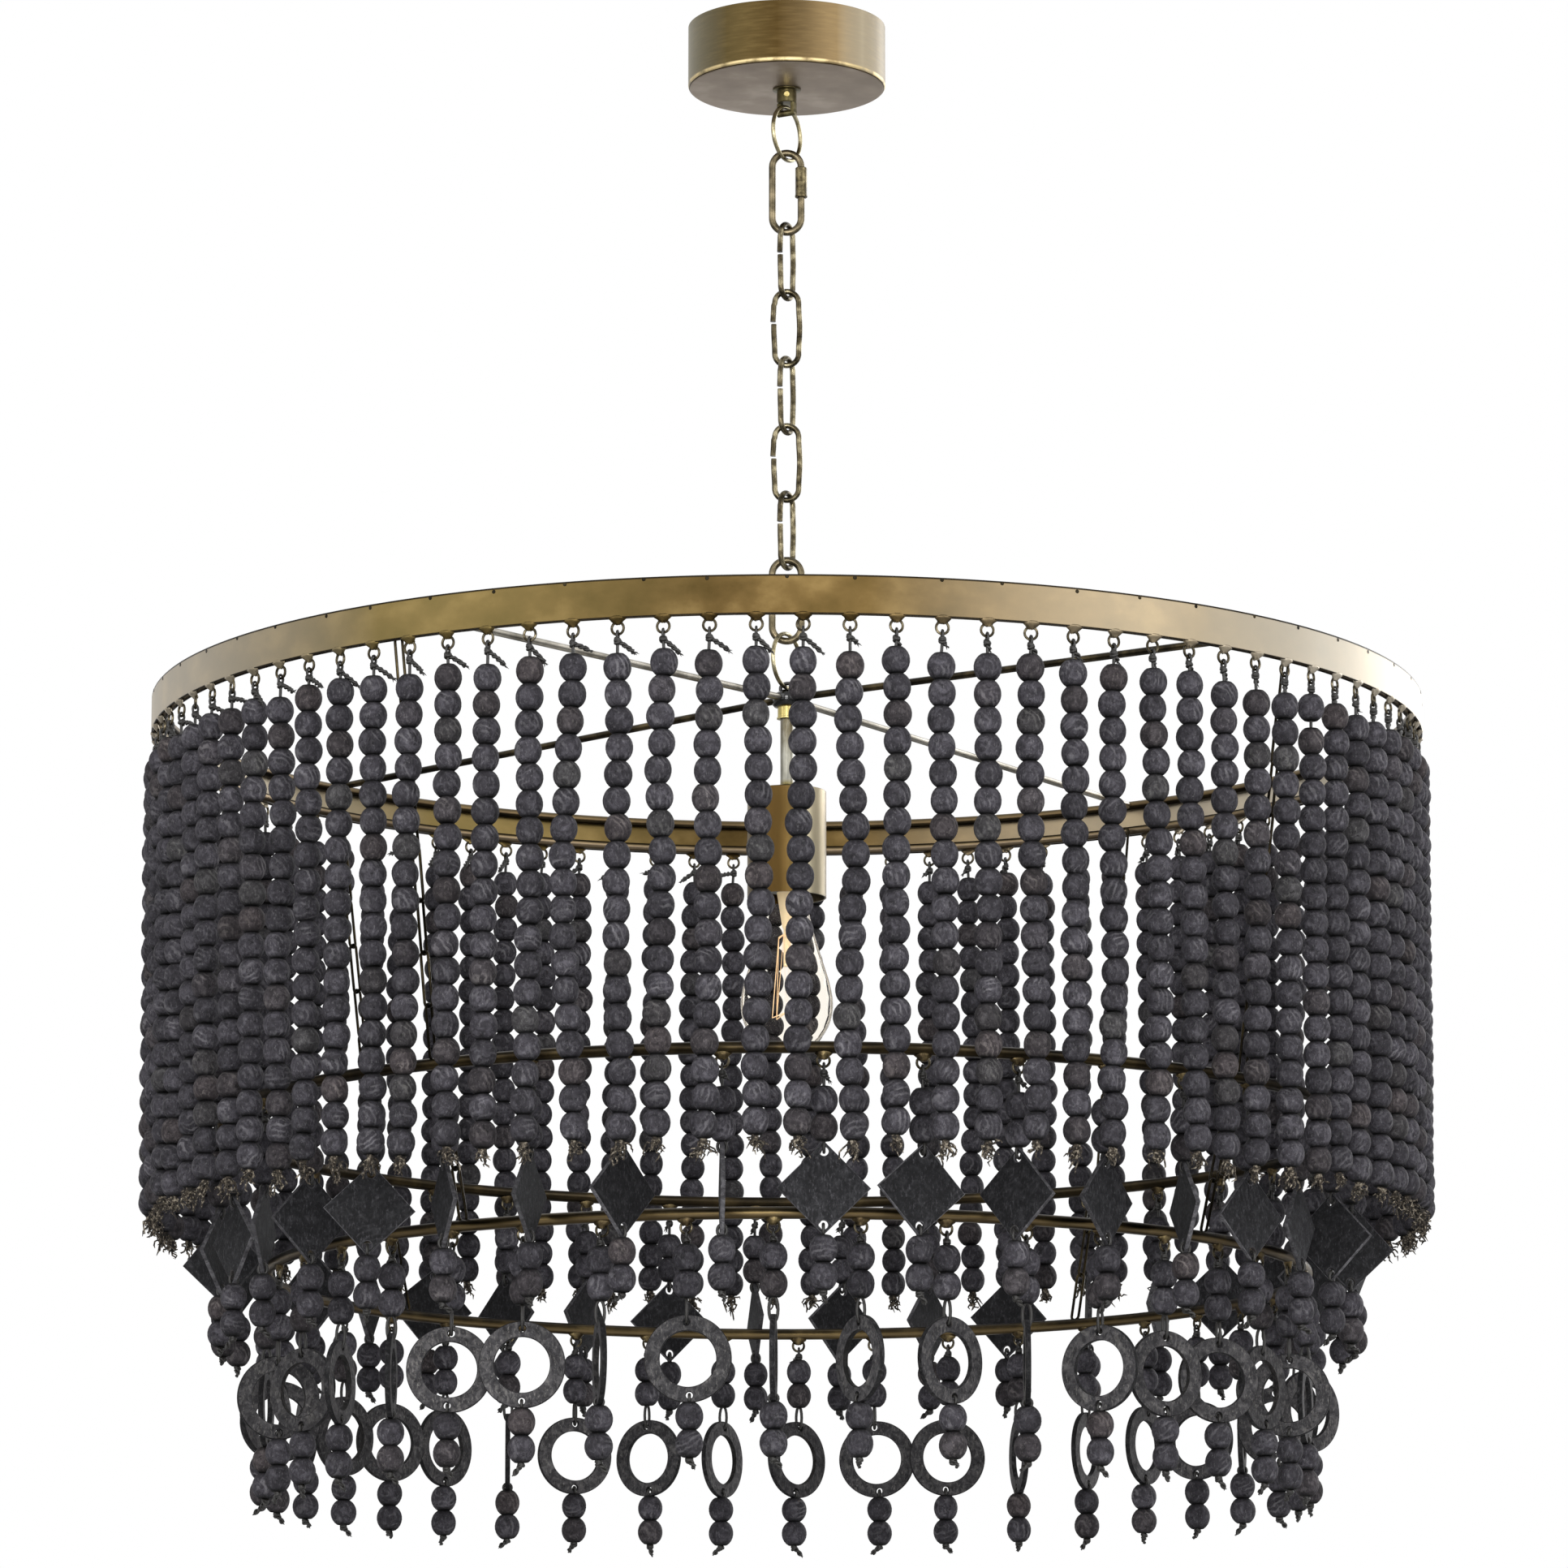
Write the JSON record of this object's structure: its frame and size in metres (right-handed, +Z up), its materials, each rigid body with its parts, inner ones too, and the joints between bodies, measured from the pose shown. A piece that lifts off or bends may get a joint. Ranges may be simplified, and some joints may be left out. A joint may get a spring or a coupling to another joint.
{
  "type": "beaded chandelier",
  "caption": "Hanging ceiling light: canopy and chain carry a hooped frame with tiers of hanging bead strands, corner-hung plates and ring pendants round one bulb.",
  "frame": {"origin": "middle of the ceiling strap's flat upper face, which lies against the ceiling; the chain hangs straight down from it", "axes": "+Z up out of the ceiling face, -Y towards the picture's camera, +X to the right in the picture"},
  "size_m": [0.8948, 0.8943, 1.0573],
  "materials": {
    "zinc": "zinc plated",
    "antique_brass": "brushed antique brass, satin lacquer",
    "pale_brass": "polished brass, satin",
    "aged_bronze": "aged bronze, satin",
    "chain_metal": "antique brass plated steel, worn bright on the edges",
    "black_metal": "black paint",
    "band_brass": "mottled antique gold, satin",
    "dark_bronze": "blackened bronze with golden rub marks",
    "charcoal_wood": "charcoal stained wood, matt, waxed black cord",
    "phenolic": "black phenolic",
    "clear_glass": "clear, faint warm tint",
    "filament": "warm carbon style filament"
  },
  "bodies": {
    "canopy": {"ceiling_crossbar": "zinc", "canopy_cup": "antique_brass", "canopy_loop": "aged_bronze", "loop_set_screw": "pale_brass"},
    "upper_ring": {"upper_ring": "chain_metal"},
    "upper_quick_link": {"upper_quick_link": "chain_metal"},
    "upper_nut": {"upper_sleeve_nut": "chain_metal"},
    "chain_link_1": {"chain_link_1": "chain_metal"},
    "chain_link_2": {"chain_link_2": "chain_metal"},
    "chain_link_3": {"chain_link_3": "chain_metal"},
    "chain_link_4": {"chain_link_4": "chain_metal"},
    "chain_link_5": {"chain_link_5": "chain_metal"},
    "lower_quick_link": {"lower_quick_link": "chain_metal"},
    "lower_nut": {"lower_sleeve_nut": "chain_metal"},
    "lower_ring": {"lower_ring": "chain_metal"},
    "frame": {"hub": "black_metal", "stem_collar": "pale_brass", "stem": "antique_brass", "socket_tube": "antique_brass", "lampholder": "phenolic", "band_strip": "band_brass", "top_hoop": "dark_bronze", "strand_rail_1": "charcoal_wood", "strand_rail_2": "charcoal_wood", "strand_rail_3": "charcoal_wood", "strand_rail_4": "charcoal_wood", "strand_rail_5": "charcoal_wood", "strand_rail_6": "charcoal_wood", "strand_rail_7": "charcoal_wood", "spoke_1": "dark_bronze", "spoke_2": "dark_bronze", "spoke_3": "dark_bronze", "spoke_4": "dark_bronze", "ring_2_arc_1": "charcoal_wood", "ring_2_arc_2": "charcoal_wood", "ring_2_arc_3": "charcoal_wood", "ring_2_arc_4": "charcoal_wood", "ring_2_arc_5": "charcoal_wood", "ring_2_arc_6": "charcoal_wood", "ring_3_arc_1": "charcoal_wood", "ring_3_arc_2": "charcoal_wood", "ring_3_arc_3": "charcoal_wood", "ring_3_arc_4": "charcoal_wood", "ring_3_arc_5": "charcoal_wood", "ring_3_arc_6": "charcoal_wood", "upper_hanger_1": "chain_metal", "upper_hanger_2": "chain_metal", "upper_hanger_3": "chain_metal", "upper_hanger_4": "chain_metal", "lower_hanger_1": "chain_metal", "lower_hanger_2": "chain_metal", "lower_hanger_3": "chain_metal", "lower_hanger_4": "chain_metal"},
    "bulb": {"bulb_cap": "pale_brass", "bulb_glass": "clear_glass", "filament": "filament"}
  },
  "joints": [
    {"name": "upper_ring_swing", "type": "hinge", "parent": "canopy", "child": "upper_ring", "pos_m": [0, 0, -0.0626], "axis": [-0.866, 0.5, 0], "range_deg": [-25, 25]},
    {"name": "upper_quick_link_swing", "type": "hinge", "parent": "upper_ring", "child": "upper_quick_link", "pos_m": [0, 0, -0.097], "axis": [0.5, 0.866, 0], "range_deg": [-25, 25]},
    {"name": "chain_link_1_swing", "type": "hinge", "parent": "upper_quick_link", "child": "chain_link_1", "pos_m": [0, 0, -0.15], "axis": [1, 0, 0], "range_deg": [-25, 25]},
    {"name": "chain_link_2_swing", "type": "hinge", "parent": "chain_link_1", "child": "chain_link_2", "pos_m": [0, 0, -0.1982], "axis": [0.5, 0.866, 0], "range_deg": [-25, 25]},
    {"name": "chain_link_3_swing", "type": "hinge", "parent": "chain_link_2", "child": "chain_link_3", "pos_m": [0, 0, -0.2469], "axis": [1, 0, 0], "range_deg": [-25, 25]},
    {"name": "chain_link_4_swing", "type": "hinge", "parent": "chain_link_3", "child": "chain_link_4", "pos_m": [0, 0, -0.2956], "axis": [0.5, 0.866, 0], "range_deg": [-25, 25]},
    {"name": "chain_link_5_swing", "type": "hinge", "parent": "chain_link_4", "child": "chain_link_5", "pos_m": [0, 0, -0.3443], "axis": [1, 0, 0], "range_deg": [-25, 25]},
    {"name": "lower_quick_link_swing", "type": "hinge", "parent": "chain_link_5", "child": "lower_quick_link", "pos_m": [0, 0, -0.393], "axis": [0.5, 0.866, 0], "range_deg": [-25, 25]},
    {"name": "lower_ring_swing", "type": "hinge", "parent": "lower_quick_link", "child": "lower_ring", "pos_m": [0, 0, -0.4455], "axis": [1, 0, 0], "range_deg": [-25, 25]},
    {"name": "frame_swing", "type": "hinge", "parent": "lower_ring", "child": "frame", "pos_m": [0, 0, -0.4788], "axis": [0.5, 0.866, 0], "range_deg": [-25, 25]},
    {"name": "upper_nut_slide", "type": "slide", "parent": "upper_quick_link", "child": "upper_nut", "axis": [0, 0, -1], "range_m": [0, 0.009]},
    {"name": "lower_nut_slide", "type": "slide", "parent": "lower_quick_link", "child": "lower_nut", "axis": [0, 0, -1], "range_m": [0, 0.009]},
    {"name": "bulb_unscrew", "type": "hinge", "parent": "frame", "child": "bulb", "pos_m": [0, 0, -0.66], "axis": [0, 0, 1], "continuous": true}
  ]
}
